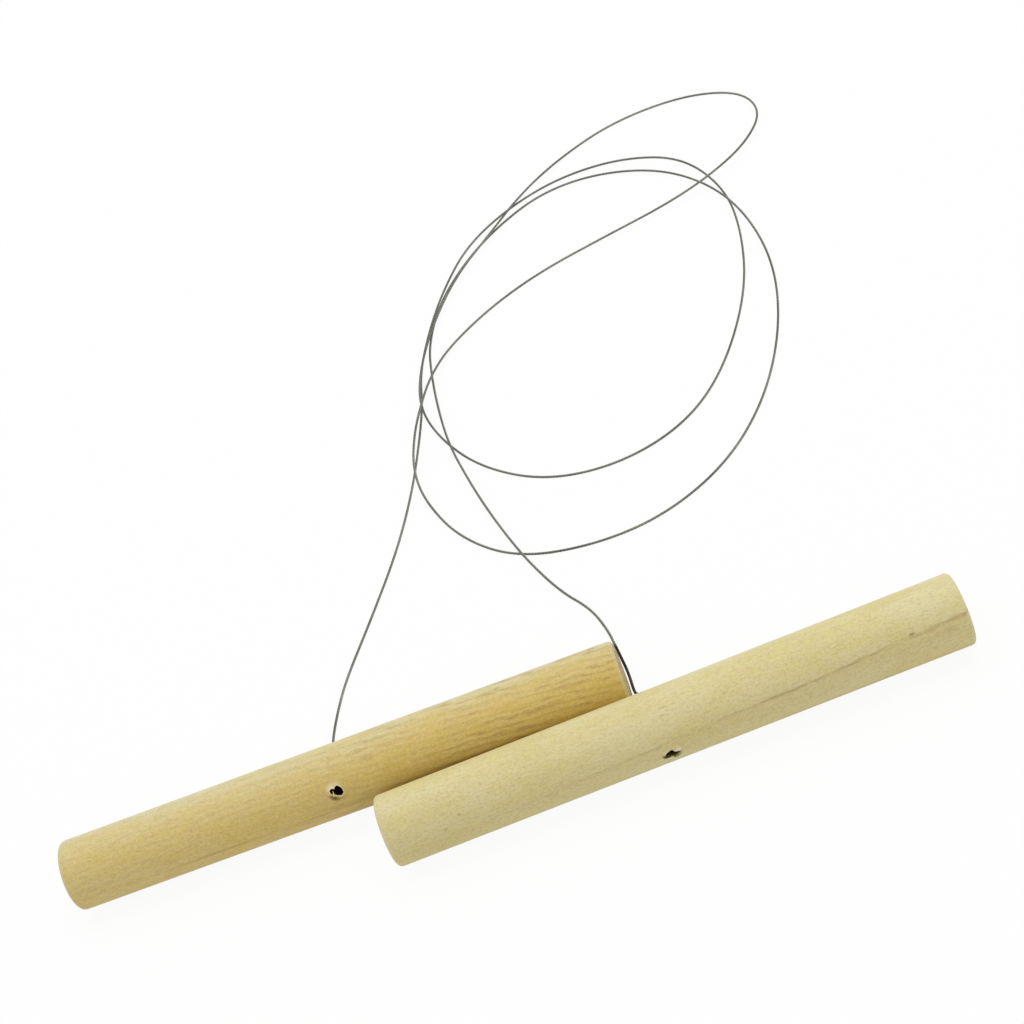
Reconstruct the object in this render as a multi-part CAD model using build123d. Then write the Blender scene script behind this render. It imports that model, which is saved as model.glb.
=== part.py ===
from build123d import *
import math
import os

import numpy as np

# A wire clay cutter lying loose: two wooden toggle handles joined by one long thin stranded wire.
# +Z is up and +X runs along the front handle. The origin is the middle of the bottom of the box
# round the two handles, so both handles lie on the plane z = 0.

# Handles: one dowel twice, the rear one behind the front one and staggered to its left
handle_length = 122.0
handle_diameter = 15.0
end_rounding = 1.0
handle_gap = 0.35        # narrowest gap between the handles, at the rear handle's right end
rear_end_inset = 5.816   # the rear handle's right end lies this far left of the front one's middle
rear_turn = -1.724       # degrees, the rear handle's turn about the vertical

# Cross bores: a wide mouth on the front side, a shoulder, and a narrow hole to the back
front_bore_shift = 2.075   # left of the handle's middle
front_bore_rise = 2.14     # degrees that the mouth points above the level
rear_bore_shift = 1.206
rear_bore_rise = 34.23
mouth_diameter = 3.0
mouth_depth = 10.0

# Wire and the sleeves crimped on its two ends
wire_diameter = 0.5
outer_strands = 6        # twisted round one core strand; the free wire is drawn as their outline
bore_clearance = 0.1     # all round the wire in the narrow hole
stop_clearance = 0.2     # all round the sleeve in the mouth
seat_gap = 0.1           # play between the sleeve and the shoulder that it bears on
stop_length = 4.0
stop_chamfer = 0.2
crimp_radius = 1.6       # of the rounded jaw that presses a dent in each side of the sleeve
crimp_depth = 0.25
wire_stub = 0.6          # cut end of the wire that stands out of the sleeve
joint_inset = 1.0        # inside the narrow hole, where the free wire meets the end in the handle
rear_lead = 3.0          # straight stretch of wire outside each narrow hole
front_lead = 1.5

overrun = 1.0            # how far a cutter passes the surface that it cuts

# Route of the free wire, from the rear handle to the front one, heights at the wire's middle.
# It lies on the surface and rises only where it crosses itself. Each loose turn has its own shape.
rear_tail = [
    (-34.7, 21.5, 0.3), (-34.9, 28.0, 0.3), (-30.6, 38.0, 0.3), (-22.0, 52.5, 0.3),
    (-12.0, 70.0, 0.3), (-5.0, 86.0, 0.3),
]
first_loop = [
    (0.0, 101.0, 0.3), (3.5, 113.5, 0.3), (5.3, 125.0, 0.3), (10.2, 138.7, 0.3),
    (17.2, 152.2, 0.3), (27.0, 165.5, 0.3), (41.0, 174.0, 0.3), (56.5, 177.8, 0.3),
    (73.2, 175.4, 0.3), (87.0, 166.0, 0.3), (93.3, 148.0, 0.3), (92.0, 129.5, 0.3),
    (86.0, 108.0, 0.3), (73.3, 86.0, 0.3), (60.0, 74.0, 0.3), (43.0, 69.8, 0.3),
    (26.0, 73.5, 0.3), (13.0, 85.0, 0.3), (5.6, 99.0, 0.3),
]
narrow_fold = [
    (2.7, 112.0, 1.4), (5.9, 126.0, 1.3), (12.6, 140.3, 1.3), (21.7, 154.2, 1.3),
    (33.5, 165.2, 1.3), (46.0, 177.0, 1.3), (60.0, 186.0, 0.6), (76.0, 191.6, 0.3),
    (95.0, 190.7, 0.3), (108.8, 183.2, 0.3), (111.2, 171.0, 0.8), (103.2, 159.5, 1.9),
    (91.3, 152.0, 2.5), (78.0, 149.0, 1.9), (60.0, 147.2, 0.6), (42.0, 144.3, 0.3),
    (27.0, 138.5, 0.3), (14.0, 129.5, 0.8), (7.8, 120.8, 1.9), (4.0, 112.8, 2.5),
]
second_loop = [
    (-0.2, 103.5, 1.9), (-3.0, 92.5, 1.3), (-2.3, 81.1, 0.8), (3.0, 66.4, 0.3),
    (14.0, 54.2, 0.3), (31.0, 49.2, 0.3), (48.0, 49.8, 0.3), (65.0, 57.6, 0.3),
    (78.6, 71.8, 0.3), (88.9, 91.0, 0.3), (95.0, 112.2, 0.3), (95.2, 131.6, 1.3),
    (90.9, 148.9, 1.4), (81.0, 164.2, 0.8), (66.0, 173.2, 0.3), (50.5, 174.6, 0.3),
    (36.4, 168.3, 0.3), (24.9, 159.3, 0.3), (15.6, 147.3, 0.3), (9.8, 133.8, 0.3),
]
front_tail = [
    (7.8, 122.0, 0.3), (7.0, 109.0, 1.0), (7.0, 96.0, 1.4), (8.6, 84.1, 1.0),
    (10.6, 73.0, 0.4), (13.5, 60.0, 1.3), (16.4, 50.0, 1.3), (20.7, 39.7, 0.4),
    (25.6, 31.2, 0.8), (27.5, 23.0, 3.0), (28.3, 15.0, 4.7), (28.8, 7.5, 6.1),
    (29.0, 1.9, 6.9),
]
bend_share = 0.45        # of the shorter run beside a corner, taken up by its arc
sample_spacing = 0.4     # of the points on which the wire's gap to itself is measured
same_stretch = 6.0       # points nearer than this along the wire are not compared

# Sizes that follow
handle_radius = handle_diameter / 2
mouth_radius = mouth_diameter / 2
wire_radius = wire_diameter / 2
hole_radius = wire_radius + bore_clearance
stop_radius = mouth_radius - stop_clearance
shoulder_height = handle_radius - mouth_depth
seat_height = shoulder_height + seat_gap
wire_start = joint_inset - handle_radius
wire_finish = seat_height + stop_length + wire_stub

# Places that follow: half of the turned rear handle's reach along X and across it
turn = math.radians(rear_turn)
straight_length = handle_length / 2 - end_rounding
straight_radius = handle_radius - end_rounding
rear_reach = straight_length * math.cos(turn) - straight_radius * math.sin(turn) + end_rounding
rear_width = straight_radius * math.cos(turn) - straight_length * math.sin(turn) + end_rounding
stagger_x = rear_end_inset + handle_length / 2 * math.cos(turn)
stagger_y = handle_diameter + handle_gap - handle_length / 2 * math.sin(turn)
front_x = (stagger_x + rear_reach - handle_length / 2) / 2
front_y = (handle_radius - stagger_y - rear_width) / 2
front_place = Pos(front_x, front_y, handle_radius)
rear_place = Pos(front_x - stagger_x, front_y + stagger_y, handle_radius) * Rot(0, 0, rear_turn)


# Frame of a cross bore: origin on the handle's own axis, +Z out of the wide mouth
def bore_frame(place, shift, rise):
    return place * Pos(-shift, 0, 0) * Rot(90 - rise, 0, 0)


front_bore = bore_frame(front_place, front_bore_shift, front_bore_rise)
rear_bore = bore_frame(rear_place, rear_bore_shift, rear_bore_rise)


# Round rod along +Z of a frame, from one height to another
def rod(frame, radius, bottom, top):
    upright = (Align.CENTER, Align.CENTER, Align.MIN)
    return frame * Pos(0, 0, bottom) * Cylinder(radius, top - bottom, align=upright)


# Wooden toggle: a dowel with eased end edges and its stepped cross bore
def make_handle(place, bore):
    dowel = Plane.YZ * Cylinder(handle_radius, handle_length)
    dowel = fillet(dowel.edges().filter_by(GeomType.CIRCLE), end_rounding)
    mouth = rod(bore, mouth_radius, shoulder_height, handle_radius + overrun)
    hole = rod(bore, hole_radius, -handle_radius - overrun, shoulder_height + overrun)
    return place * dowel - mouth - hole


# Crimped sleeve: a short tube on the wire's end with a pressed dent in each side
def make_stop(bore):
    upright = (Align.CENTER, Align.CENTER, Align.MIN)
    sleeve = Cylinder(stop_radius, stop_length, align=upright)
    sleeve = chamfer(sleeve.edges().filter_by(GeomType.CIRCLE), stop_chamfer)
    sleeve -= rod(Pos(0, 0, 0), wire_radius, -overrun, stop_length + overrun)
    jaw = Rot(90, 0, 0) * Cylinder(crimp_radius, mouth_diameter)
    jaw_offset = stop_radius + crimp_radius - crimp_depth
    for side in (-1, 1):
        sleeve -= Pos(side * jaw_offset, 0, stop_length / 2) * jaw
    return bore * Pos(0, 0, seat_height) * sleeve


# A point on the axis of a bore, outside the narrow hole's end by some distance
def outside(bore, distance):
    return (bore * Pos(0, 0, -handle_radius - distance)).position


# Radius of the arc at each corner of the route: as large as its two runs allow
def corner_radii(points):
    radii = []
    for before, corner, after in zip(points, points[1:], points[2:]):
        run_in = corner - before
        run_out = after - corner
        half_turn = math.radians(run_in.get_angle(run_out)) / 2
        shorter_run = min(run_in.length, run_out.length)
        radii.append(bend_share * shorter_run / math.tan(half_turn))
    return radii


def middle(start, end):
    return (start + end) / 2


def make_tube(path):
    section = Plane(origin=path @ 0, z_dir=path % 0) * RegularPolygon(wire_radius, outer_strands)
    return sweep(section, path=path)


# Least gap of the wire to itself, on points spread evenly along all its stretches
def least_gap(paths):
    points = []
    places = []
    travelled = 0
    for path in paths:
        count = math.ceil(path.length / sample_spacing)
        for step in range(count):
            points.append(tuple(path @ (step / count)))
            places.append(travelled + path.length * step / count)
        travelled += path.length
    points = np.array(points)
    places = np.array(places)
    least = math.inf
    for index in range(len(points)):
        others = points[places > places[index] + same_stretch]
        if len(others):
            least = min(least, np.linalg.norm(others - points[index], axis=1).min())
    return least - wire_diameter


# The wire's whole route, cut in three in the middle of a run
ends_at = len(rear_tail) + 2
turns_at = ends_at + len(first_loop) + len(narrow_fold) + len(second_loop)
route = [outside(rear_bore, -joint_inset), outside(rear_bore, rear_lead)]
route += [Vector(point) for point in rear_tail + first_loop + narrow_fold + second_loop + front_tail]
route += [outside(front_bore, front_lead), outside(front_bore, -joint_inset)]
radii = corner_radii(route)
rear_join = middle(route[ends_at - 1], route[ends_at])
front_join = middle(route[turns_at - 1], route[turns_at])

rear_tail_path = FilletPolyline(*route[:ends_at], rear_join, radius=radii[:ends_at - 1])
loops_path = FilletPolyline(
    rear_join, *route[ends_at:turns_at], front_join, radius=radii[ends_at - 1:turns_at - 1]
)
front_tail_path = FilletPolyline(front_join, *route[turns_at:], radius=radii[turns_at - 1:])

nodes = {
    "front_handle": make_handle(front_place, front_bore),
    "rear_handle": make_handle(rear_place, rear_bore),
    "front_stop": make_stop(front_bore),
    "rear_stop": make_stop(rear_bore),
    "front_wire_end": rod(front_bore, wire_radius, wire_start, wire_finish),
    "rear_wire_end": rod(rear_bore, wire_radius, wire_start, wire_finish),
    "wire_rear_tail": make_tube(rear_tail_path),
    "wire_loops": make_tube(loops_path),
    "wire_front_tail": make_tube(front_tail_path),
}

os.makedirs("parts", exist_ok=True)
for name, shape in nodes.items():
    shape.label = name
    export_step(shape, f"parts/{name}.step")

# What the sizes come to
wire_paths = {
    "wire_rear_tail": rear_tail_path,
    "wire_loops": loops_path,
    "wire_front_tail": front_tail_path,
}
for name, path in wire_paths.items():
    expected = RegularPolygon(wire_radius, outer_strands).area * path.length
    print(f"{name}: {path.length:.1f} mm long, volume {nodes[name].volume / expected:.4f} of its section's")
print("corner radii, mm:", [round(radius, 1) for radius in radii])
print(f"tightest corner {min(radii) / wire_diameter:.1f} diameters")
print(f"free wire {sum(path.length for path in wire_paths.values()):.1f} mm, both stubs in the bores included")
print(f"least gap of the wire to itself {least_gap(wire_paths.values()):.2f} mm")
for name, bore in (("front", front_bore), ("rear", rear_bore)):
    axis = bore * Pos(0, 0, handle_radius)
    print(f"{name} bore: middle {bore.position}, mouth {axis.position}, hole's end {outside(bore, 0)}")
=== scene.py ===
import math

import bpy
from mathutils import Matrix, Vector, noise


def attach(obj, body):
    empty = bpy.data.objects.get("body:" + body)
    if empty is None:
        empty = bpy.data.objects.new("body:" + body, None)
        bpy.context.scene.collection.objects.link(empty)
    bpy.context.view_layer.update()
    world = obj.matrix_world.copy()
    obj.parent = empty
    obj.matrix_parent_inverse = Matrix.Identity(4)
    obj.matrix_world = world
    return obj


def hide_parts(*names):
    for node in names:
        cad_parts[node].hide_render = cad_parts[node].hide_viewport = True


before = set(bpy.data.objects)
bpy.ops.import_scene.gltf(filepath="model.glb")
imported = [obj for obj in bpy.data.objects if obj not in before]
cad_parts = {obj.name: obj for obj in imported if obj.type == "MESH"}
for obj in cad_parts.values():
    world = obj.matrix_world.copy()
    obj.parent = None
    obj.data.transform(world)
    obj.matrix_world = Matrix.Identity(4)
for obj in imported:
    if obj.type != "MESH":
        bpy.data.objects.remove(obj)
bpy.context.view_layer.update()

bpy.ops.object.select_all(action="DESELECT")


# Cutting wire. One long piece of stainless strand, six thin wires laid round a seventh, as it
# comes off the reel. It leaves the back of both handles and lies in two wide loops and a narrow
# fold on the table, where its own springiness left it.
strand_lay = 0.005
single_wire = 0.0002
route = [
    (-0.034354, 0.013099, 0.003844), (-0.034254, 0.016405, 0.001594),
    (-0.0360, 0.0196, 0.00045), (-0.0363, 0.0232, 0.0003),
    (-0.0336, 0.0312, 0.0003), (-0.0300, 0.0393, 0.0003),
    (-0.0220, 0.0525, 0.0003), (-0.0120, 0.0700, 0.0003), (-0.0050, 0.0860, 0.0003),
    (0.0000, 0.1010, 0.0003), (0.0035, 0.1135, 0.0003), (0.0053, 0.1250, 0.0003),
    (0.0105, 0.1386, 0.0003), (0.0174, 0.1521, 0.0003), (0.0270, 0.1655, 0.0003),
    (0.0410, 0.1740, 0.0003), (0.0565, 0.1778, 0.0003), (0.0732, 0.1754, 0.0003),
    (0.0872, 0.1663, 0.0003), (0.0933, 0.1480, 0.0003), (0.0920, 0.1295, 0.0003),
    (0.0860, 0.1080, 0.0003), (0.0733, 0.0860, 0.0003), (0.0600, 0.0740, 0.0003),
    (0.0430, 0.0698, 0.0003), (0.0260, 0.0735, 0.0003), (0.0130, 0.0850, 0.0003),
    (0.0056, 0.0990, 0.0003),
    (0.0027, 0.1120, 0.0014), (0.0059, 0.1260, 0.0013), (0.0126, 0.1403, 0.0013),
    (0.0217, 0.1542, 0.0013), (0.0335, 0.1652, 0.0013), (0.0460, 0.1770, 0.0013),
    (0.0600, 0.1860, 0.0006), (0.0760, 0.1916, 0.0003), (0.0950, 0.1907, 0.0003),
    (0.1088, 0.1832, 0.0003), (0.1112, 0.1710, 0.0008), (0.1032, 0.1595, 0.0019),
    (0.0913, 0.1520, 0.0025), (0.0780, 0.1484, 0.0019), (0.0600, 0.1472, 0.0006),
    (0.0420, 0.1443, 0.0003), (0.0270, 0.1385, 0.0003), (0.0140, 0.1295, 0.0008),
    (0.0078, 0.1208, 0.0019), (0.0040, 0.1128, 0.0025),
    (-0.0002, 0.1035, 0.0019), (-0.0030, 0.0925, 0.0013), (-0.0023, 0.0811, 0.0008),
    (0.0030, 0.0664, 0.0003), (0.0140, 0.0542, 0.0003), (0.0310, 0.0492, 0.0003),
    (0.0480, 0.0498, 0.0003), (0.0650, 0.0576, 0.0003), (0.0786, 0.0718, 0.0003),
    (0.0889, 0.0910, 0.0003), (0.0950, 0.1122, 0.0003), (0.0952, 0.1316, 0.0013),
    (0.0909, 0.1489, 0.0014), (0.0810, 0.1642, 0.0008), (0.0660, 0.1732, 0.0003),
    (0.0505, 0.1746, 0.0003), (0.0364, 0.1683, 0.0003), (0.0249, 0.1593, 0.0003),
    (0.0153, 0.1474, 0.0003), (0.0095, 0.1339, 0.0003),
    (0.0078, 0.1220, 0.0003), (0.0070, 0.1090, 0.0010), (0.0070, 0.0960, 0.0014),
    (0.0086, 0.0841, 0.0010), (0.0106, 0.0730, 0.0004), (0.0135, 0.0600, 0.0013),
    (0.0164, 0.0500, 0.0013), (0.0207, 0.0397, 0.0004), (0.0254, 0.0323, 0.0004),
    (0.0274, 0.0244, 0.0008), (0.02785, 0.0179, 0.0014), (0.02845, 0.0105, 0.0020),
    (0.02825, 0.0050, 0.0029), (0.0286, 0.0016, 0.0052),
    (0.031403, -0.001000, 0.007183), (0.031403, -0.002998, 0.007257),
]
# The last stretch before the front handle, where it runs past the rear handle's end, is painted black as
# painted shade. Its black comes on over a short edge, makes the wire thicker by a share, and fades by a
# share for its last two thirds.
shaded_stretch_length = 0.0252
shaded_stretch_edge = 0.0015
shaded_stretch_swelling = 0.14
fading_part = 0.68
fading_edge = 0.003
fading_share = 0.3


def points_along(name, route):
    """Reads the points of one smooth line that has the route's points as control points."""
    line = bpy.data.curves.new(name, "CURVE")
    line.dimensions = "3D"
    spline = line.splines.new("NURBS")
    spline.points.add(len(route) - 1)
    for place, point in zip(spline.points, route):
        place.co = (*point, 1)
    spline.order_u = 3
    spline.use_endpoint_u = True
    spline.resolution_u = 36
    guide = bpy.data.objects.new(name, line)
    bpy.context.scene.collection.objects.link(guide)
    read = bpy.data.meshes.new_from_object(guide)
    points = [vertex.co.copy() for vertex in read.vertices]
    bpy.data.objects.remove(guide)
    bpy.data.meshes.remove(read)
    return points


def laid_strand(name, points, painted_shade_length=0.0):
    """Sweeps the outline of six wires round a seventh along the points, turning with the lay.

    The last stretch, of the length given, carries painted shade and is a little thicker.
    """
    # One wire's outline, in degrees round the strand, from the groove beside it up to its crown and
    # down again. Each of the six wires repeats it. The smallest term keeps the root in the groove,
    # where two wires touch, from falling below zero.
    groove_degrees = -30
    outline = []
    for degrees in (groove_degrees, -17, 0, 17):
        side = math.radians(degrees)
        reach = single_wire * math.cos(side)
        reach += math.sqrt((single_wire / 2) ** 2 - (single_wire * math.sin(side)) ** 2 + 1e-18)
        outline.append((side, reach, 1.0 if degrees == groove_degrees else 0.0))
    corners = [
        (turn * math.pi / 3 + side, reach, groove)
        for turn in range(6)
        for side, reach, groove in outline
    ]
    spots, grooves, painted_shade, faces = [], [], [], []
    travelled = 0.0
    whole_length = sum((after - before).length for before, after in zip(points, points[1:]))
    for index, point in enumerate(points):
        ahead = points[min(index + 1, len(points) - 1)] - points[max(index - 1, 0)]
        ahead.normalize()
        across = ahead.cross(Vector((0, 0, 1))).normalized()
        over = across.cross(ahead)
        if index:
            travelled += (point - points[index - 1]).length
        twist = 2 * math.pi * travelled / strand_lay
        to_end = whole_length - travelled
        black = min(max((painted_shade_length - to_end) / shaded_stretch_edge, 0.0), 1.0)
        faded = min(max((painted_shade_length * fading_part - to_end) / fading_edge, 0.0), 1.0)
        black -= fading_share * faded * black
        for angle, reach, groove in corners:
            reach = reach * (1 + shaded_stretch_swelling * black)
            sideways = across * reach * math.cos(angle + twist)
            upwards = over * reach * math.sin(angle + twist)
            spots.append(point + sideways + upwards)
            grooves.append(groove)
            painted_shade.append(black)
    ring = len(corners)
    for index in range(len(points) - 1):
        for corner in range(ring):
            beside = (corner + 1) % ring
            near, far = index * ring, (index + 1) * ring
            faces.append((near + corner, near + beside, far + beside, far + corner))
    for centre, first, step in ((points[0], 0, -1), (points[-1], (len(points) - 1) * ring, 1)):
        spots.append(centre)
        grooves.append(0.0)
        painted_shade.append(painted_shade[first])
        for corner in range(ring):
            pair = (first + corner, first + (corner + 1) % ring)
            faces.append((len(spots) - 1, *pair[::step]))
    mesh = bpy.data.meshes.new(name)
    mesh.from_pydata(spots, [], faces)
    mesh.attributes.new("groove", "FLOAT", "POINT").data.foreach_set("value", grooves)
    mesh.attributes.new("painted_shade", "FLOAT", "POINT").data.foreach_set("value", painted_shade)
    strand = bpy.data.objects.new(name, mesh)
    bpy.context.scene.collection.objects.link(strand)
    bpy.ops.object.select_all(action="DESELECT")
    strand.select_set(True)
    bpy.context.view_layer.objects.active = strand
    bpy.ops.object.mode_set(mode="EDIT")
    bpy.ops.mesh.select_all(action="SELECT")
    bpy.ops.mesh.normals_make_consistent(inside=False)
    bpy.ops.object.mode_set(mode="OBJECT")
    bpy.ops.object.shade_smooth_by_angle(angle=math.radians(60))
    strand.select_set(False)
    return strand


def linear(hex_colour):
    """Turns an sRGB hex colour into the linear RGBA that a shader takes."""
    shares = []
    for start in (1, 3, 5):
        share = int(hex_colour[start:start + 2], 16) / 255
        shares.append(share / 12.92 if share <= 0.04045 else ((share + 0.055) / 1.055) ** 2.4)
    return (*shares, 1)


def new_material(name):
    """Starts a material and gives it back with its node tree and its shader."""
    material = bpy.data.materials.new(name)
    material.use_nodes = True
    return material, material.node_tree, material.node_tree.nodes["Principled BSDF"]


def add_node(tree, kind, settings, inputs):
    """Adds a node with its settings; an input is a value, or the socket that feeds it."""
    made = tree.nodes.new(kind)
    for setting, value in settings.items():
        setattr(made, setting, value)
    for socket, value in inputs.items():
        if isinstance(value, bpy.types.NodeSocket):
            tree.links.new(value, made.inputs[socket])
        else:
            made.inputs[socket].default_value = value
    return made


# Stainless steel wire, cold drawn and left bright under a thin grey film of handling: a satin
# grey with darker grooves between the wires and dull patches a centimetre or two long.
wire_steel, tree, shader = new_material("drawn_stainless_strand")
place = add_node(tree, "ShaderNodeTexCoord", {}, {})
groove = add_node(tree, "ShaderNodeAttribute", {"attribute_name": "groove"}, {})
patches = add_node(tree, "ShaderNodeTexNoise", {}, {
    "Vector": place.outputs["Object"], "Scale": 60.0, "Detail": 3.0})
film = add_node(tree, "ShaderNodeMapRange", {}, {
    "Value": patches.outputs["Fac"], "From Min": 0.35, "From Max": 0.65})
bright = add_node(tree, "ShaderNodeMix", {"data_type": "RGBA"}, {
    0: film.outputs["Result"], 6: linear("#8F8F87"), 7: linear("#76776F")})
dark = add_node(tree, "ShaderNodeMix", {"data_type": "RGBA"}, {
    0: groove.outputs["Fac"], 6: bright.outputs[2], 7: linear("#42423E")})
dull = add_node(tree, "ShaderNodeMapRange", {}, {
    "Value": patches.outputs["Fac"], "From Min": 0.3, "From Max": 0.7, "To Min": 0.3, "To Max": 0.48})
# The last stretch before the front handle, where it runs past the rear handle's end, is painted nearly
# black as painted shade, and a little less so towards its end.
painted_shade = add_node(tree, "ShaderNodeAttribute", {"attribute_name": "painted_shade"}, {})
painted_shade_tone = add_node(tree, "ShaderNodeMix", {"data_type": "RGBA"}, {
    0: groove.outputs["Fac"], 6: linear("#2F2B21"), 7: linear("#0D0B07")})
surface = add_node(tree, "ShaderNodeMix", {"data_type": "RGBA"}, {
    0: painted_shade.outputs["Fac"], 6: dark.outputs[2], 7: painted_shade_tone.outputs[2]})
tree.links.new(surface.outputs[2], shader.inputs["Base Color"])
tree.links.new(dull.outputs["Result"], shader.inputs["Roughness"])
shader.inputs["Metallic"].default_value = 1.0

wire_points = points_along("wire_line", route)
wire = laid_strand("cutting_wire", wire_points, shaded_stretch_length)
wire.data.materials.append(wire_steel)
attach(wire, "wire")
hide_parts("wire_rear_tail", "wire_loops", "wire_front_tail")


# Wire ends. The same strand goes on through a narrow hole in each handle and comes out of the
# far side of a crimped sleeve, cut square. It shows only down in the wide mouths.
rear_end_line = [
    (-0.034354, 0.013099, 0.003844), (-0.034462, 0.009505, 0.006291),
    (-0.034570, 0.005910, 0.008738)]
front_end_line = [
    (0.031403, -0.002998, 0.007257), (0.031403, -0.007345, 0.007420),
    (0.031403, -0.011692, 0.007582)]
for name, solid, end_line, painted_shade_length in (
        ("rear_strand_end", "rear_wire_end", rear_end_line, 0.0),
        ("front_strand_end", "front_wire_end", front_end_line, shaded_stretch_length)):
    end = laid_strand(name, points_along(name + "_line", end_line), painted_shade_length)
    end.data.materials.append(wire_steel)
    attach(end, "wire")
    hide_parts(solid)


# Crimped sleeves. Short pieces of soft aluminium tube, squeezed on the strand with pliers, which
# stop it from pulling back through the narrow hole. They sit deep in the mouths.
# Aluminium, drawn tube, dulled by the tool: light grey, satin, with fine turned scratches. They
# are drawn a fifth of a millimetre wide, coarser than the real ones, so that they show.
sleeve_metal, tree, shader = new_material("drawn_aluminium")
place = add_node(tree, "ShaderNodeTexCoord", {}, {})
stretch = add_node(tree, "ShaderNodeMapping", {}, {
    "Vector": place.outputs["Object"], "Scale": (900.0, 5000.0, 5000.0)})
scratches = add_node(tree, "ShaderNodeTexNoise", {}, {
    "Vector": stretch.outputs["Vector"], "Scale": 1.0, "Detail": 4.0})
tone = add_node(tree, "ShaderNodeMix", {"data_type": "RGBA"}, {
    0: scratches.outputs["Fac"], 6: linear("#A9A9A6"), 7: linear("#C6C6C3")})
dull = add_node(tree, "ShaderNodeMapRange", {}, {
    "Value": scratches.outputs["Fac"], "To Min": 0.32, "To Max": 0.55})
tree.links.new(tone.outputs[2], shader.inputs["Base Color"])
tree.links.new(dull.outputs["Result"], shader.inputs["Roughness"])
shader.inputs["Metallic"].default_value = 1.0
for name in ("rear_stop", "front_stop"):
    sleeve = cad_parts[name]
    sleeve.data.materials.clear()
    sleeve.data.materials.append(sleeve_metal)


# Front handle. A length of pale dowel, sawn square, with its edges sanded round. It lies in
# front, pressed against the other, and one growth ring runs along it as a darker line.
dowel_radius = 7.5
dowel_half_length = 61.0
front_centre = (0.033478, -0.009494, 0.0075)
front_turn = 0.0


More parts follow.
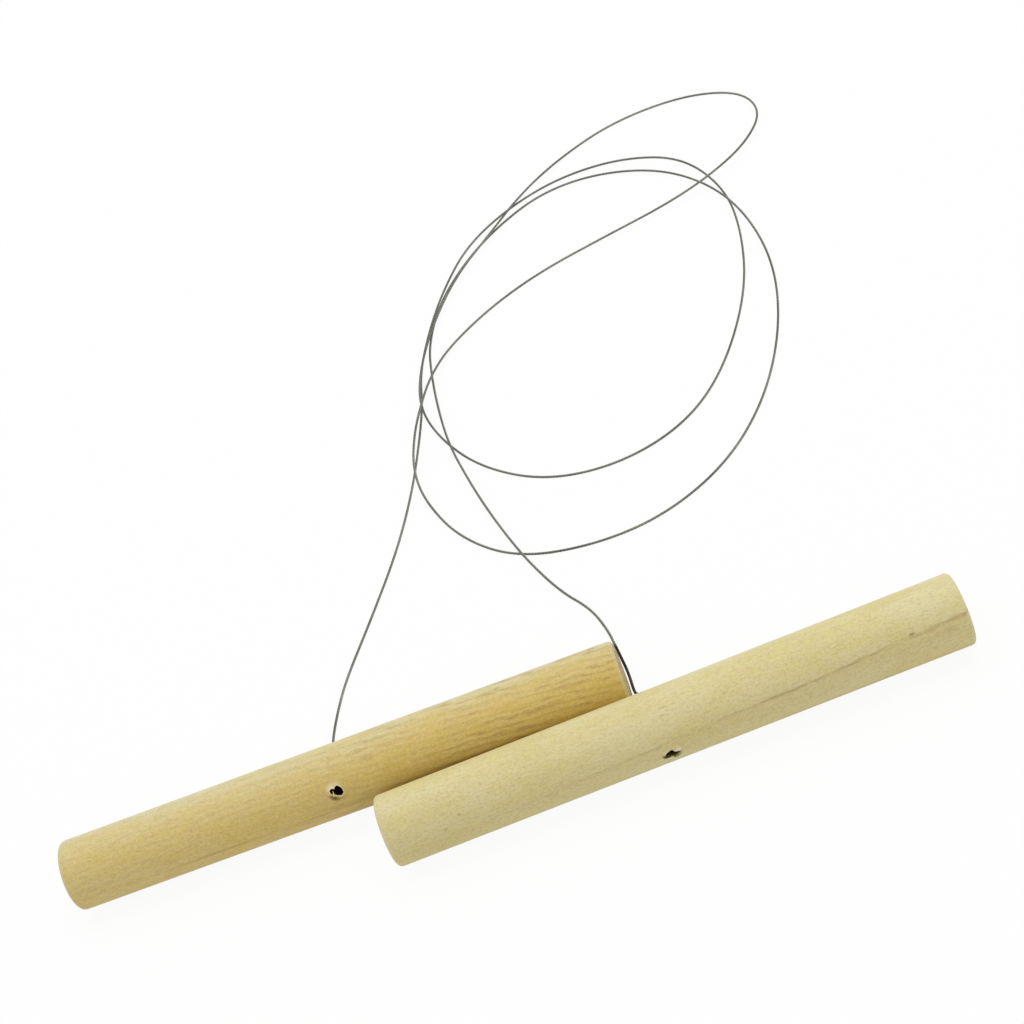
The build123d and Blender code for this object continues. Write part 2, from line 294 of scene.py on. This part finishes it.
def dowel_wood(name, centre, turn, tones, rings, forward_side, marks):
    """Makes one dowel's wood. Its pattern is in millimetres, with X along the dowel's own axis.

    Directions round the dowel are in degrees: 0 is level towards the camera and 90 is up. Depths
    say how strongly a tone shows, from 0 to 1. Growth rings climb from the place "from" on. Their
    dark line and their soft near side are shares of a ring, and "broken" is how much of a line the
    mottling leaves. They go from the share "left" at the place "fades" to full depth further right.
    The heartwood starts "edge" millimetres out from the axis, on its own side. A mark is a small
    The painted shade along the forward side starts "edge" millimetres out from the axis, on its own
    side. A mark is a small knot or fleck, or a long streak of painted shade: its place along and round
    the dowel, its length, width and depth, and its tone.
    """
    full_depth_from = 35.0
    material, tree, shader = new_material(name)
    place = add_node(tree, "ShaderNodeTexCoord", {}, {})
    in_mm = add_node(tree, "ShaderNodeMapping", {"vector_type": "TEXTURE"}, {
        "Vector": place.outputs["Object"], "Location": centre, "Rotation": (0, 0, math.radians(turn)),
        "Scale": (0.001, 0.001, 0.001)}).outputs["Vector"]
    # Each noise is stretched along the grain: how long and how wide its patches are, in mm. The
    # fibres and the grit are drawn about three times as coarse as birch has them, so they show.
    fields = {}
    for field, length, width, detail, shift in (
            ("sway", 26.0, 9.0, 1.0, 5.0), ("ripple", 5.0, 1.8, 2.0, 11.0),
            ("patch", 17.0, 5.0, 3.0, 23.0), ("mottle", 2.6, 1.4, 0.5, 31.0),
            ("fibre", 2.6, 0.32, 3.0, 43.0), ("grit", 0.6, 0.4, 2.0, 59.0)):
        stretched = add_node(tree, "ShaderNodeMapping", {}, {
            "Vector": in_mm, "Location": (shift + rings["seed"], shift, 0),
            "Scale": (1 / length, 1 / width, 1 / width)})
        fields[field] = add_node(tree, "ShaderNodeTexNoise", {}, {
            "Vector": stretched.outputs["Vector"], "Scale": 1.0, "Detail": detail,
            "Roughness": 0.6}).outputs["Fac"]
    # Where a spot is, in mm: along the dowel, out from its axis, from its middle to an end, and
    # out towards the heartwood's side and across the growth rings.
    along = add_node(tree, "ShaderNodeSeparateXYZ", {}, {0: in_mm}).outputs["X"]
    radial = add_node(tree, "ShaderNodeVectorMath", {"operation": "MULTIPLY"}, {
        0: in_mm, 1: (0.0, 1.0, 1.0)})
    radius = add_node(tree, "ShaderNodeVectorMath", {"operation": "LENGTH"}, {
        0: radial.outputs["Vector"]}).outputs["Value"]
    reach = add_node(tree, "ShaderNodeMath", {"operation": "ABSOLUTE"}, {0: along}).outputs["Value"]
    towards = []
    for degrees in (forward_side["towards"], rings["towards"]):
        side = math.radians(degrees)
        towards.append(add_node(tree, "ShaderNodeVectorMath", {"operation": "DOT_PRODUCT"}, {
            0: in_mm, 1: (0.0, -math.cos(side), math.sin(side))}).outputs["Value"])
    inward = add_node(tree, "ShaderNodeMath", {"operation": "MULTIPLY_ADD"}, {
        0: fields["ripple"], 1: forward_side["ripple"], 2: towards[0]}).outputs["Value"]
    # Growth rings are sheets that rise or fall along the dowel and sway a little. The place in a
    # ring goes from 0 at its dark line to 1 at the next.
    climb = add_node(tree, "ShaderNodeMapRange", {}, {
        "Value": along, "From Min": rings["from"], "From Max": dowel_half_length,
        "To Min": rings["start"], "To Max": rings["start"] + rings["climb"]})
    sheets = towards[1]
    for field in ("sway", "ripple"):
        sheets = add_node(tree, "ShaderNodeMath", {"operation": "MULTIPLY_ADD"}, {
            0: fields[field], 1: rings[field], 2: sheets}).outputs["Value"]
    level = add_node(tree, "ShaderNodeMath", {"operation": "SUBTRACT"}, {
        0: climb.outputs["Result"], 1: sheets})
    ring_count = add_node(tree, "ShaderNodeMath", {"operation": "DIVIDE"}, {
        0: level.outputs["Value"], 1: rings["apart"]})
    in_ring = add_node(tree, "ShaderNodeMath", {"operation": "FRACT"}, {
        0: ring_count.outputs["Value"]}).outputs["Value"]
    # Only the torn mouths carry this attribute. It is above zero for freshly torn fibres, which are
    # cream, partly by their own paler colour and partly by a painted highlight, and below zero for
    # painted shade under the lifted fibres and down into the hole, olive and then nearly black.
    rim_paleness_and_painted_light = add_node(tree, "ShaderNodeAttribute", {"attribute_name": "rim_paleness_and_painted_light"}, {}).outputs["Fac"]
    # Shares that run with one of these values: the value, its start and end, and the share there.
    shares = {}
    for share, value, low, high, least, most, kind in (
            ("pink", fields["mottle"], 0.40, 0.58, 0.0, 1.0, "LINEAR"),
            ("paler", fields["patch"], 0.36, 0.62, 0.0, 0.7, "LINEAR"),
            ("forward_side_across", inward, forward_side["edge"], dowel_radius + 1.1, 0.0, 1.0, "SMOOTHSTEP"),
            ("forward_side_along", along, forward_side["from"], forward_side["to"], forward_side["least"], forward_side["depth"], "LINEAR"),
            ("forward_side_mottled", fields["mottle"], 0.38, 0.58, 1.0, forward_side["mottled"], "LINEAR"),
            ("line_far_side", in_ring, 0.0, rings["line"], 1.0, 0.0, "SMOOTHSTEP"),
            ("band_far_side", in_ring, 0.0, 0.7, 1.0, 0.0, "SMOOTHSTEP"),
            ("near_side", in_ring, 1.0 - rings["soft"], 1.0, 0.0, 1.0, "LINEAR"),
            ("fading", along, rings["fades"], full_depth_from, rings["left"], 1.0, "LINEAR"),
            ("line_clear", fields["patch"], 0.40, 0.56, 0.15, 1.0, "LINEAR"),
            ("line_broken", fields["mottle"], 0.40, 0.58, rings["broken"], 1.0, "LINEAR"),
            ("fibres", fields["fibre"], 0.48, 0.70, 0.0, rings["fibre_depth"], "LINEAR"),
            ("dark_grit", fields["grit"], 0.50, 0.80, 0.0, rings["grit_depth"], "LINEAR"),
            ("bright_grit", fields["grit"], 0.48, 0.24, 0.0, rings["grit_depth"], "LINEAR"),
            ("near_end", reach, dowel_half_length - 0.8, dowel_half_length - 0.5, 0.0, 1.0, "LINEAR"),
            ("at_end", reach, dowel_half_length - 0.25, dowel_half_length - 0.02, 0.0, 1.0, "LINEAR"),
            ("off_end", reach, dowel_half_length - 9.0, dowel_half_length - 10.0, 0.0, 1.0, "LINEAR"),
            ("outside", radius, dowel_radius - 1.1, dowel_radius - 0.6, 0.0, 1.0, "LINEAR"),
            ("inside", radius, dowel_radius - 0.6, dowel_radius - 1.1, 0.0, 1.0, "LINEAR"),
            ("below", radius, dowel_radius - 0.15, dowel_radius - 0.8, 0.0, 1.0, "SMOOTHSTEP"),
            ("fibre_paleness_and_painted_light", rim_paleness_and_painted_light, 0.0, 1.0, 0.0, 1.0, "LINEAR"),
            ("olive_painted_shade", rim_paleness_and_painted_light, 0.0, -0.4, 0.0, 1.0, "LINEAR"),
            ("black_painted_shade", rim_paleness_and_painted_light, -0.4, -0.9, 0.0, 1.0, "LINEAR"),
            ("roughness", fields["mottle"], 0.3, 0.7, 0.5, 0.66, "LINEAR")):
        shares[share] = add_node(tree, "ShaderNodeMapRange", {"interpolation_type": kind}, {
            "Value": value, "From Min": low, "From Max": high,
            "To Min": least, "To Max": most}).outputs["Result"]
    # A ring's dark line and the soft band behind it share their near side.
    for share in ("line", "band"):
        shares[share] = add_node(tree, "ShaderNodeMath", {"operation": "MAXIMUM"}, {
            0: shares[share + "_far_side"], 1: shares["near_side"]}).outputs["Value"]
    # Shares that are others multiplied.
    for share, factors in (
            ("forward_side_shade", (shares["forward_side_across"], shares["forward_side_along"], shares["forward_side_mottled"])),
            ("ring_band", (shares["band"], shares["fading"], rings["band_depth"])),
            ("ring_line", (shares["line"], shares["line_clear"], shares["line_broken"],
                           shares["fading"], rings["line_depth"])),
            # The rounded edges' paler tone is partly the sanded wood's own and partly a painted
            # highlight.
            ("eased_edge", (shares["near_end"], shares["outside"], 0.4)),
            ("end_grain", (shares["at_end"], shares["inside"], 0.8)),
            # Inside the drilled holes the wood is darkened as painted shade.
            ("drilled", (shares["below"], shares["off_end"]))):
        product = factors[0]
        for factor in factors[1:]:
            product = add_node(tree, "ShaderNodeMath", {"operation": "MULTIPLY"}, {
                0: product, 1: factor}).outputs["Value"]
        shares[share] = product
    # Tones laid over the mottled ground, one after the other: paler stretches of the board, a warmer,
    # deeper tone along the forward side that is painted shade, the growth rings, and the fibres and grit
    # of the sanding.
    layers = [
        (tones["pale"], shares["paler"]), (forward_side["tone"], shares["forward_side_shade"]),
        (tones["late"], shares["ring_band"]), (tones["brown"], shares["ring_line"]),
        (tones["brown"], shares["fibres"]), (tones["brown"], shares["dark_grit"]),
        (tones["bright"], shares["bright_grit"])]
    for along_mm, round_degrees, mark_length, mark_width, mark_depth, tone in marks:
        side = math.radians(round_degrees)
        spot = (along_mm, -dowel_radius * math.cos(side), dowel_radius * math.sin(side))
        offset = add_node(tree, "ShaderNodeMapping", {"vector_type": "TEXTURE"}, {
            "Vector": in_mm, "Location": spot, "Scale": (mark_length, mark_width, mark_width)})
        distance = add_node(tree, "ShaderNodeVectorMath", {"operation": "LENGTH"}, {
            0: offset.outputs["Vector"]})
        ragged = add_node(tree, "ShaderNodeMath", {"operation": "MULTIPLY_ADD"}, {
            0: fields["grit"], 1: 0.9, 2: distance.outputs["Value"]})
        strength = add_node(tree, "ShaderNodeMapRange", {"interpolation_type": "SMOOTHSTEP"}, {
            "Value": ragged.outputs["Value"], "From Min": 0.6, "From Max": 1.5,
            "To Min": mark_depth, "To Max": 0.0})
        layers.append((tone, strength.outputs["Result"]))
    # The rounded edges are paler, partly as sanded wood and partly as a painted highlight, end grain is
    # browner, and the drilled holes are darkened with painted shade. On the torn mouths the cream fibres
    # are partly their own paler colour and partly a painted highlight, and under them lies painted
    # shade, olive and then nearly black.
    layers += [
        (tones["pale"], shares["eased_edge"]), (tones["end_grain"], shares["end_grain"]),
        (tones["bore_shade"], shares["drilled"]), ("#FAF0D6", shares["fibre_paleness_and_painted_light"]),
        ("#6E5F1E", shares["olive_painted_shade"]), ("#1C0E04", shares["black_painted_shade"])]
    colour = add_node(tree, "ShaderNodeMix", {"data_type": "RGBA"}, {
        0: shares["pink"], 6: linear(tones["yellow"]), 7: linear(tones["pink"])}).outputs[2]
    for tone, share in layers:
        colour = add_node(tree, "ShaderNodeMix", {"data_type": "RGBA"}, {
            0: share, 6: colour, 7: linear(tone)}).outputs[2]
    tree.links.new(colour, shader.inputs["Base Color"])
    # Sanding leaves the fibres standing by a few hundredths of a millimetre.
    standing = add_node(tree, "ShaderNodeMath", {"operation": "MULTIPLY_ADD"}, {
        0: fields["grit"], 1: 0.5, 2: fields["fibre"]})
    relief = add_node(tree, "ShaderNodeBump", {}, {
        "Height": standing.outputs["Value"], "Strength": 0.5, "Distance": 0.00004})
    tree.links.new(relief.outputs["Normal"], shader.inputs["Normal"])
    tree.links.new(shares["roughness"], shader.inputs["Roughness"])
    shader.inputs["IOR"].default_value = 1.5
    shader.inputs["Specular IOR Level"].default_value = 0.25
    return material


# Birch, turned to a dowel and sanded: pale greyish beige, nearly matt, with soft mottling.
front_wood = dowel_wood(
    "sanded_birch_front", front_centre, front_turn,
    {"pale": "#E3DCB0", "yellow": "#DCD090", "pink": "#DDCE99", "late": "#CDB46C",
     "brown": "#9A834E", "bright": "#ECE4AC", "end_grain": "#B39A6A", "bore_shade": "#6A4A1E"},
    {"seed": 0.0, "towards": 90.0, "from": -61.0, "climb": 4.51, "start": 1.75, "sway": 1.2,
     "ripple": 0.9, "apart": 7.2, "line": 0.10, "soft": 0.03, "broken": 0.4, "band_depth": 0.28,
     "line_depth": 0.54, "left": 0.3, "fades": -35.0, "fibre_depth": 0.13, "grit_depth": 0.31},
    # The third table is painted shade: a warmer, deeper tone along the side facing forward.
    {"towards": 20.0, "edge": 1.0, "ripple": 2.2, "from": -61.0, "to": 61.0, "least": 0.5,
     "depth": 0.36, "mottled": 0.75, "tone": "#D5C384"},
    ((49.2, 42.5, 0.9, 0.45, 0.7, "#94794A"), (58.0, 43.0, 1.6, 0.8, 0.35, "#B08F62"),
     (-0.6, 76.0, 1.1, 0.28, 0.35, "#94794A"), (-1.3, 65.1, 0.9, 0.3, 0.3, "#94794A"),
     (11.5, 62.3, 0.5, 0.35, 0.35, "#94794A"), (-45.2, 37.2, 0.5, 0.4, 0.4, "#8A7446"),
     (-31.6, 55.3, 0.5, 0.35, 0.3, "#94794A"), (-48.7, 22.1, 0.5, 0.4, 0.35, "#94794A"),
     (53.2, 37.3, 1.5, 0.7, 0.35, "#C39A6C"), (21.5, 30.0, 5.0, 0.5, 0.3, "#A68D50"),
     (56.3, 27.5, 2.5, 1.2, 0.25, "#C39A6C")))
front_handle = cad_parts["front_handle"]
front_handle.data.materials.clear()
front_handle.data.materials.append(front_wood)


# Torn mouth in the front handle. The blunt drill broke the birch where it came through, so the mouth is
# a ragged ring of lifted fibres, paler than the sanded face and with a painted highlight on them, with a
# flap half across it, and with painted shade below its lip.
front_mouth = (0.0314034, -0.0169884, 0.0077801)
front_rise = 2.14


def around(table, degrees):
    """Reads a table of (degrees, value) rows at any direction, easing from one row to the next."""
    rows = sorted(table)
    rows = [(rows[-1][0] - 360, *rows[-1][1:])] + rows + [(rows[0][0] + 360, *rows[0][1:])]
    for before, after in zip(rows, rows[1:]):
        if before[0] <= degrees <= after[0]:
            share = (degrees - before[0]) / (after[0] - before[0])
            share = 0.5 - 0.5 * math.cos(math.pi * share)
            return [low + (high - low) * share for low, high in zip(before[1:], after[1:])]


def torn_mouth(name, mouth, turn, rise, edge, slivers, wood, body):
    """Makes the broken rim of a drilled mouth, in millimetres, with Z out of the mouth.

    The edge table gives, for each direction, how far out the broken edge is, how high the fibres stand
    there, and how pale and lit they and the wood just outside them look: above zero the fibres' paler
    colour with a painted highlight, below zero painted shade. Slivers are loose fibres: their points,
    width, thickness, and paleness with painted light in the same way.
    """
    spokes = 96
    rings = 11
    rim_radius = 2.7
    widest_break = 1.44
    bpy.ops.object.select_all(action="DESELECT")
    bpy.ops.mesh.primitive_circle_add(vertices=spokes, radius=rim_radius, location=(0, 0, 0))
    rim = bpy.context.object
    rim.name = name
    bpy.ops.object.mode_set(mode="EDIT")
    bpy.ops.mesh.select_all(action="SELECT")
    for ring in range(rings - 1):
        bpy.ops.mesh.extrude_edges_move()
        bpy.ops.transform.resize(value=(0.9, 0.9, 1.0))
    bpy.ops.mesh.select_all(action="DESELECT")
    bpy.ops.object.mode_set(mode="OBJECT")
    for bound in rim.data.edges:
        outer, inner = sorted(bound.vertices)
        bound.select = inner < spokes or outer >= spokes * (rings - 1)
    bpy.ops.object.mode_set(mode="EDIT")
    bpy.ops.mesh.bridge_edge_loops()
    bpy.ops.object.mode_set(mode="OBJECT")
    ring_paleness_and_painted_light = []
    for vertex in rim.data.vertices:
        ring = vertex.index // spokes
        bearing = math.atan2(vertex.co.y, vertex.co.x)
        broken, lip, fibre_paleness_and_painted_light, outside = around(edge, math.degrees(bearing))
        heading = Vector((math.cos(bearing), math.sin(bearing), 0.0))
        fray = noise.noise(heading * 9.0 + Vector((mouth[0] * 1000, 0, 0))) * 0.10
        fray += noise.noise(heading * 26.0 + Vector((0, mouth[0] * 1000, 0))) * 0.05
        broken = min(broken + fray, widest_break)
        lip = lip * (1 + 5 * fray)
        # From the sanded face in to the break, down under it, and back out inside the wood: how far out
        # each ring is, how high, and its paleness and painted light, with painted shade on the rings
        # that go down under the break.
        reach, height, share = (
            (rim_radius, -0.08, 0.0), (2.30, 0.01, 0.0),
            (max(1.75, broken + 0.5), 0.02 + lip * 0.1, outside),
            (broken + 0.27, 0.03 + lip * 0.6, fibre_paleness_and_painted_light * 0.15 + outside * 0.85),
            (broken + 0.12, lip, fibre_paleness_and_painted_light), (broken, lip * 0.45, fibre_paleness_and_painted_light * 0.7),
            (broken + 0.02, -0.4, -0.3), ((broken + widest_break) / 2, -1.1, -0.7),
            (1.46, -1.7, -1.0), (1.62, -1.9, 0.0), (2.5, -0.7, 0.0))[ring]
        reach += noise.noise(heading * 7.0 + Vector((0, 0, ring * 3.7))) * 0.05
        vertex.co = heading * reach
        vertex.co.z = height - vertex.co.y ** 2 / (2 * dowel_radius)
        ring_paleness_and_painted_light.append(share)
    rim.data.attributes.new("rim_paleness_and_painted_light", "FLOAT", "POINT").data.foreach_set("value", ring_paleness_and_painted_light)
    parts = [rim]
    for points, width, thickness, fibre_paleness_and_painted_light in slivers:
        bpy.ops.object.select_all(action="DESELECT")
        bpy.ops.mesh.primitive_circle_add(vertices=8, radius=0.5, fill_type="NGON", location=(0, 0, 0))
        sliver = bpy.context.object
        bpy.ops.object.mode_set(mode="EDIT")
        bpy.ops.mesh.select_all(action="SELECT")
        for step in range(4):
            bpy.ops.mesh.extrude_region_move()
            bpy.ops.transform.translate(value=(0, 0, 1))
        bpy.ops.mesh.select_all(action="SELECT")
        bpy.ops.mesh.normals_make_consistent(inside=False)
        bpy.ops.object.mode_set(mode="OBJECT")
        start, middle, tip = (Vector(point) for point in points)
        for vertex in sliver.data.vertices:
            share = vertex.co.z / 4
            spot = start * (1 - share) ** 2 + middle * 2 * share * (1 - share) + tip * share ** 2
            ahead = ((middle - start) * (1 - share) + (tip - middle) * share).normalized()
            sideways = ahead.cross(Vector((0, 0, 1))).normalized()
            taper = 1 - 0.8 * share ** 1.5
            spot += sideways * vertex.co.x * width * taper
            spot += sideways.cross(ahead) * vertex.co.y * thickness * taper
            vertex.co = spot
        sliver_paleness_and_painted_light = [fibre_paleness_and_painted_light] * len(sliver.data.vertices)
        sliver.data.attributes.new("rim_paleness_and_painted_light", "FLOAT", "POINT").data.foreach_set("value", sliver_paleness_and_painted_light)
        parts.append(sliver)
    bpy.ops.object.select_all(action="DESELECT")
    for part in parts:
        part.select_set(True)
    bpy.context.view_layer.objects.active = rim
    bpy.ops.object.join()
    bpy.ops.object.mode_set(mode="EDIT")
    bpy.ops.mesh.select_all(action="SELECT")
    bpy.ops.mesh.normals_make_consistent(inside=False)
    bpy.ops.object.mode_set(mode="OBJECT")
    along = Vector((math.cos(math.radians(turn)), math.sin(math.radians(turn)), 0))
    level = math.cos(math.radians(rise))
    out = Vector((level * along.y, -level * along.x, math.sin(math.radians(rise))))
    over = out.cross(along)
    to_place = Matrix((along, over, out)).transposed().to_4x4()
    rim.data.transform(Matrix.Translation(mouth) @ to_place @ Matrix.Scale(0.001, 4))
    bpy.ops.object.shade_smooth_by_angle(angle=math.radians(45))
    rim.data.materials.append(wood)
    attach(rim, body)
    rim.select_set(False)


torn_mouth(
    "front_torn_mouth", front_mouth, front_turn, front_rise,
    ((-160, 1.40, 0.02, -1.0, -0.8), (-174, 1.42, 0.05, -0.5, -0.3), (172, 1.38, 0.14, 0.6, 0.0),
     (155, 1.16, 0.22, 1.0, 0.2), (131, 0.85, 0.18, 0.3, 0.0), (86, 0.84, 0.16, 0.1, 0.0),
     (62, 0.60, 0.20, 0.4, 0.0), (35, 0.50, 0.26, 0.7, 0.2), (12, 0.66, 0.24, 0.8, 0.3),
     (0, 1.10, 0.12, 0.2, 0.0), (-14, 1.38, 0.05, -0.7, -0.1), (-27, 1.44, 0.05, -0.4, -0.15),
     (-45, 1.44, 0.04, -0.35, -0.25), (-66, 1.44, 0.03, -0.35, -0.3), (-84, 1.44, 0.03, -0.5, -0.2),
     (-105, 1.34, 0.05, 0.3, 0.3), (-125, 1.36, 0.04, -0.5, 0.15), (-145, 1.42, 0.02, -1.0, -0.4)),
    (
        (((1.75, 0.25, 0.00), (1.15, 0.32, 0.36), (0.40, 0.28, 0.08)), 0.46, 0.12, 1.0),
        (((1.55, 0.62, 0.00), (1.10, 0.62, 0.22), (0.55, 0.50, 0.10)), 0.30, 0.10, 0.6)),
    front_wood, "front_handle")


# Rear handle. The same dowel, from a yellower board, turned a little against the first. Fine lines of
# grain cross its right half, and a dark streak of painted shade runs low along it, in the crease against
# the front handle.
rear_centre = (-0.033310, 0.0076915, 0.0075)
rear_turn = -1.724
rear_wood = dowel_wood(
    "sanded_birch_rear", rear_centre, rear_turn,
    {"pale": "#DFDAB6", "yellow": "#D8CE90", "pink": "#DDCD9A", "late": "#C4A65A",
     "brown": "#9C7636", "bright": "#EEDD98", "end_grain": "#AC9464", "bore_shade": "#20140C"},
    {"seed": 90.0, "towards": 135.0, "from": -5.0, "climb": -6.0, "start": 0.6, "sway": 2.4,
     "ripple": 2.0, "apart": 1.45, "line": 0.5, "soft": 0.25, "broken": 0.4, "band_depth": 0.12,
     "line_depth": 0.54, "left": 0.25, "fades": -8.0, "fibre_depth": 0.18, "grit_depth": 0.3},
    # The third table is painted shade: a warmer, deeper tone along the side facing forward, in the
    # crease against the front handle.
    {"towards": 20.0, "edge": -2.5, "ripple": 2.2, "from": -61.0, "to": 50.0, "least": 0.55,
     "depth": 0.88, "mottled": 0.92, "tone": "#D4B352"},
    # The last mark is a long streak of painted shade, low on the side in the crease against the front
    # handle.
    ((-28.0, 2.0, 14.0, 0.5, 0.35, "#A07E38"), (-9.0, 0.0, 9.0, 0.4, 0.3, "#A07E38"),
     (36.0, 3.0, 42.0, 1.8, 0.78, "#8E681C")))
rear_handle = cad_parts["rear_handle"]
rear_handle.data.materials.clear()
rear_handle.data.materials.append(rear_wood)


# Torn mouth in the rear handle. Broken in the same way, but nearly round, with one stiff fibre
# left standing across its left side.
rear_mouth = (-0.0347020, 0.0015297, 0.0117189)
rear_rise = 34.23
torn_mouth(
    "rear_torn_mouth", rear_mouth, rear_turn, rear_rise,
    ((50, 1.13, 0.20, 0.8, 0.05), (28, 1.19, 0.16, 0.4, 0.1), (-7, 1.24, 0.14, 0.3, 0.0),
     (-30, 1.44, 0.12, 0.35, 0.0), (-60, 1.42, 0.12, 0.35, -0.05), (-78, 1.21, 0.16, 0.4, -0.1),
     (-100, 1.00, 0.18, 0.35, -0.3), (-125, 0.86, 0.20, 0.3, -0.45), (-150, 1.02, 0.16, 0.2, -0.35),
     (-167, 1.28, 0.12, 0.3, 0.0), (175, 1.38, 0.16, 0.8, 0.1), (163, 1.40, 0.22, 1.0, 0.25),
     (149, 1.29, 0.26, 1.0, 0.35), (131, 1.02, 0.28, 1.0, 0.3), (118, 0.64, 0.24, 0.5, 0.4),
     (100, 0.72, 0.22, 1.0, 0.2), (89, 0.95, 0.28, 1.0, 0.15), (73, 1.16, 0.28, 1.0, 0.1)),
    (
        (((-0.85, -1.05, 0.00), (-0.80, -0.45, 0.12), (-0.72, 0.22, -0.20)), 0.36, 0.16, 0.45),
        (((-0.45, 1.15, 0.05), (-0.35, 0.85, 0.20), (-0.20, 0.55, 0.00)), 0.36, 0.12, 1.0),
        (((0.80, -1.40, 0.00), (0.40, -1.30, 0.10), (0.00, -1.00, 0.00)), 0.22, 0.10, 0.4)),
    rear_wood, "rear_handle")


# Floor. A plain white laminate table under the object. To the camera and in reflections most of
# its colour is its own white, and the rest is lit, so that it keeps the object's soft shadow.
floor_white = 0.93
bpy.ops.object.select_all(action="DESELECT")
bpy.ops.mesh.primitive_plane_add(size=6.0, location=(0, 0, 0))
floor = bpy.context.object
floor.name = "table_top"
white_board, tree, shader = new_material("white_laminate")
rays = add_node(tree, "ShaderNodeLightPath", {}, {})
seen = add_node(tree, "ShaderNodeMath", {"operation": "MAXIMUM"}, {
    0: rays.outputs["Is Camera Ray"], 1: rays.outputs["Is Glossy Ray"]})
seen_through = add_node(tree, "ShaderNodeMath", {"operation": "MAXIMUM"}, {
    0: seen.outputs["Value"], 1: rays.outputs["Is Transmission Ray"]})
white_share = add_node(tree, "ShaderNodeMath", {"operation": "MULTIPLY"}, {
    0: seen_through.outputs["Value"], 1: floor_white})
glow = add_node(tree, "ShaderNodeEmission", {}, {"Color": (1, 1, 1, 1), "Strength": 1.0})
blend = add_node(tree, "ShaderNodeMixShader", {}, {
    0: white_share.outputs["Value"], 1: shader.outputs["BSDF"], 2: glow.outputs["Emission"]})
tree.links.new(blend.outputs["Shader"], tree.nodes["Material Output"].inputs["Surface"])
shader.inputs["Base Color"].default_value = linear("#F4F4F2")
shader.inputs["Roughness"].default_value = 0.7
floor.data.materials.append(white_board)


# Light. A white room, dimmer on the object than it looks, and one large soft box overhead, a
# little behind the object.
room_light = 0.615
world = bpy.data.worlds.new("studio")
world.use_nodes = True
bpy.context.scene.world = world
sky = world.node_tree.nodes["Background"]
sky.inputs["Color"].default_value = (1, 1, 1, 1)
rays = add_node(world.node_tree, "ShaderNodeLightPath", {}, {})
seen = add_node(world.node_tree, "ShaderNodeMath", {"operation": "MAXIMUM"}, {
    0: rays.outputs["Is Camera Ray"], 1: rays.outputs["Is Glossy Ray"]})
strength = add_node(world.node_tree, "ShaderNodeMapRange", {}, {
    "Value": seen.outputs["Value"], "To Min": room_light, "To Max": 1.0})
world.node_tree.links.new(strength.outputs["Result"], sky.inputs["Strength"])
bpy.ops.object.light_add(type="AREA", location=(0.05, 0.35, 1.1))
soft_box = bpy.context.object
soft_box.name = "soft_box"
soft_box.data.shape = "SQUARE"
soft_box.data.size = 0.9
soft_box.data.energy = 6.1
soft_box.rotation_euler = (math.radians(-15), 0, 0)


# Camera. It looks down at the table at 45 degrees and is rolled by about 25 degrees, so that the
# handles lie aslant.
camera_place = Vector((0.04162, -0.257739, 0.327309))
camera_aim = Vector((0.01600, 0.06857, 0.0))
camera_roll = 24.87
camera_view = 28.268
bpy.ops.object.camera_add(location=camera_place)
camera = bpy.context.object
camera.name = "camera"
look = (camera_aim - camera_place).to_track_quat("-Z", "Y").to_matrix().to_4x4()
roll = Matrix.Rotation(math.radians(-camera_roll), 4, "Z")
camera.matrix_world = Matrix.Translation(camera_place) @ look @ roll
camera.data.sensor_fit = "HORIZONTAL"
camera.data.angle = math.radians(camera_view)
camera.data.clip_start = 0.01
bpy.context.scene.camera = camera
bpy.context.scene.view_settings.view_transform = "Standard"
